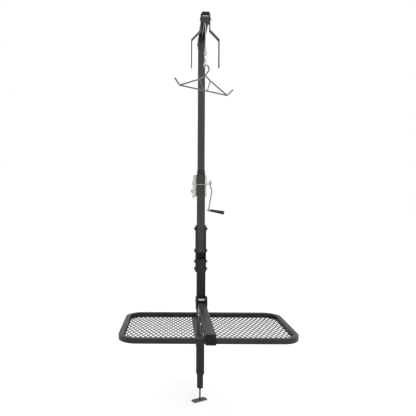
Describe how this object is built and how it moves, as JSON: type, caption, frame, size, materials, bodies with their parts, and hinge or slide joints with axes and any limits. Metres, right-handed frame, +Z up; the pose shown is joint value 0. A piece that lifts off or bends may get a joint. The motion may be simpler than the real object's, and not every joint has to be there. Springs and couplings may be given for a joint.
{
  "type": "hitch-mounted game hoist",
  "caption": "Black steel hoist on a vehicle hitch shank, with a folding mast, hand winch, cable, snap hook and gambrel, and a fold-up expanded-metal platform.",
  "frame": {"origin": "centre of the hitch pin hole in the shank", "axes": "+Z up, +Y along the shank towards the vehicle, +X to the side, so that the platform and boom reach towards -Y"},
  "size_m": [0.894, 1.405, 2.356],
  "materials": {
    "frame_black": "satin",
    "tube_grey": "satin",
    "platform_black": "satin",
    "zinc": "satin",
    "dark_bolts": "satin",
    "bright_steel": "polished",
    "gambrel_paint": "satin",
    "cable_steel": "satin",
    "grip_rubber": "matte",
    "cap_plastic": "matte"
  },
  "bodies": {
    "post": {"hitch_shank": "frame_black", "hitch_pin_sleeve": "frame_black", "mast_post": "frame_black", "leg_guide": "frame_black", "leg_clamp_screw": "dark_bolts", "hinge_ears": "frame_black", "hinge_pin": "zinc", "splice_channel": "frame_black", "splice_bolts": "dark_bolts", "fold_pivot_bolt": "dark_bolts"},
    "leg": {"inner_leg": "frame_black", "leg_nut_plate": "frame_black"},
    "foot": {"foot_plate": "frame_black"},
    "foot_screw": {"foot_screw": "dark_bolts"},
    "platform": {"platform_bar": "platform_black", "bar_end_cap": "cap_plastic", "bar_lugs": "platform_black", "left_wing_frame": "platform_black", "right_wing_frame": "platform_black", "left_wing_mesh": "platform_black", "right_wing_mesh": "platform_black", "wing_rails": "platform_black", "wing_bolts": "dark_bolts"},
    "mid_mast": {"mid_mast": "tube_grey", "mast_lock_bolt": "dark_bolts", "mast_collar": "frame_black", "collar_lock_screw": "dark_bolts", "winch_bracket": "frame_black", "bracket_rod": "zinc", "winch_mount_bolts": "zinc", "winch_frame": "zinc", "winch_tie_rods": "zinc", "cable_riser": "cable_steel"},
    "upper_mast": {"upper_mast": "tube_grey", "boom": "frame_black", "fork_bars": "frame_black", "sheave_axles": "dark_bolts", "cable_keeper": "zinc", "cable_boom_run": "cable_steel", "cable_drop": "cable_steel"},
    "front_sheave": {"front_sheave": "cap_plastic"},
    "rear_sheave": {"rear_sheave": "cap_plastic"},
    "drum": {"drum": "zinc", "drum_gear": "zinc", "drum_shaft": "zinc", "cable_wrap": "cable_steel"},
    "crank": {"crank_shaft": "zinc", "pinion": "zinc", "ratchet_wheel": "zinc", "crank_spacer_and_nut": "zinc", "crank_arm": "zinc", "grip_stud": "zinc"},
    "grip": {"crank_grip": "grip_rubber"},
    "pawl": {"ratchet_pawl": "zinc"},
    "cable_end": {"cable_eye": "cable_steel", "hook_swivel": "bright_steel"},
    "snap_hook": {"snap_hook": "bright_steel"},
    "hook_gate": {"hook_gate": "bright_steel"},
    "gambrel": {"gambrel": "gambrel_paint"}
  },
  "joints": [
    {"name": "mast_fold", "type": "hinge", "parent": "post", "child": "mid_mast", "pos_m": [0, -0.587, 0.611], "axis": [1, 0, 0], "range_deg": [0, 90]},
    {"name": "platform_fold", "type": "hinge", "parent": "post", "child": "platform", "pos_m": [0, -0.652, 0.303], "axis": [1, 0, 0], "range_deg": [-90, 0]},
    {"name": "leg_slide", "type": "slide", "parent": "post", "child": "leg", "axis": [0, 0, 1], "range_m": [-0.2, 0.06]},
    {"name": "foot_lift", "type": "slide", "parent": "leg", "child": "foot", "axis": [0, 0, 1], "range_m": [-0.02, 0.02]},
    {"name": "foot_screw_turn", "type": "hinge", "parent": "foot", "child": "foot_screw", "pos_m": [0, -0.587, -0.353], "axis": [0, 0, 1], "range_deg": [-4120, 4120]},
    {"name": "mast_height", "type": "slide", "parent": "mid_mast", "child": "upper_mast", "axis": [0, 0, 1], "range_m": [-0.18, 0], "deforming": ["cable_riser"]},
    {"name": "drum_turn", "type": "hinge", "parent": "mid_mast", "child": "drum", "pos_m": [0, -0.492, 1], "axis": [1, 0, 0], "range_deg": [-2715.43, 113.14]},
    {"name": "crank_turn", "type": "hinge", "parent": "mid_mast", "child": "crank", "pos_m": [0, -0.47523, 1.055], "axis": [1, 0, 0], "range_deg": [-361, 8641]},
    {"name": "front_sheave_turn", "type": "hinge", "parent": "upper_mast", "child": "front_sheave", "pos_m": [0, -0.917, 1.966], "axis": [1, 0, 0], "range_deg": [-187.31, 4472.41]},
    {"name": "rear_sheave_turn", "type": "hinge", "parent": "upper_mast", "child": "rear_sheave", "pos_m": [0, -0.5317, 1.966], "axis": [1, 0, 0], "range_deg": [-187.31, 4472.41]},
    {"name": "hook_travel", "type": "slide", "parent": "upper_mast", "child": "cable_end", "axis": [0, 0, 1], "range_m": [-1.17111, 0.04927], "deforming": ["cable_drop"]},
    {"name": "hook_swivel_turn", "type": "hinge", "parent": "cable_end", "child": "snap_hook", "pos_m": [0, -0.932, 1.7385], "axis": [0, 0, 1], "continuous": true},
    {"name": "gambrel_swing", "type": "hinge", "parent": "snap_hook", "child": "gambrel", "pos_m": [0, -0.932, 1.69], "axis": [-0.5878, 0.809, 0], "range_deg": [-20, 20]},
    {"name": "gate_open", "type": "hinge", "parent": "snap_hook", "child": "hook_gate", "pos_m": [-0.00323, -0.92755, 1.7255], "axis": [0.809, 0.5878, 0], "range_deg": [0, 32], "stiffness_Nm_per_rad": 0.004, "springref_deg": -28.65},
    {"name": "pawl_rock", "type": "hinge", "parent": "mid_mast", "child": "pawl", "pos_m": [0, -0.49897, 1.08918], "axis": [1, 0, 0], "range_deg": [-18, 0]},
    {"name": "grip_spin", "type": "hinge", "parent": "crank", "child": "grip", "pos_m": [0.05886, -0.47523, 0.87284], "axis": [0.9857, 0, -0.1688], "continuous": true}
  ],
  "couplings": [
    {"joint": "crank_turn", "follows": "drum_turn", "ratio": -3.1818},
    {"joint": "front_sheave_turn", "follows": "drum_turn", "ratio": -1.6467},
    {"joint": "rear_sheave_turn", "follows": "drum_turn", "ratio": -1.6467},
    {"joint": "hook_travel", "follows": "drum_turn", "m_per_rad": 0.0247},
    {"joint": "foot_screw_turn", "follows": "foot_lift", "rad_per_m": 3590.4}
  ]
}
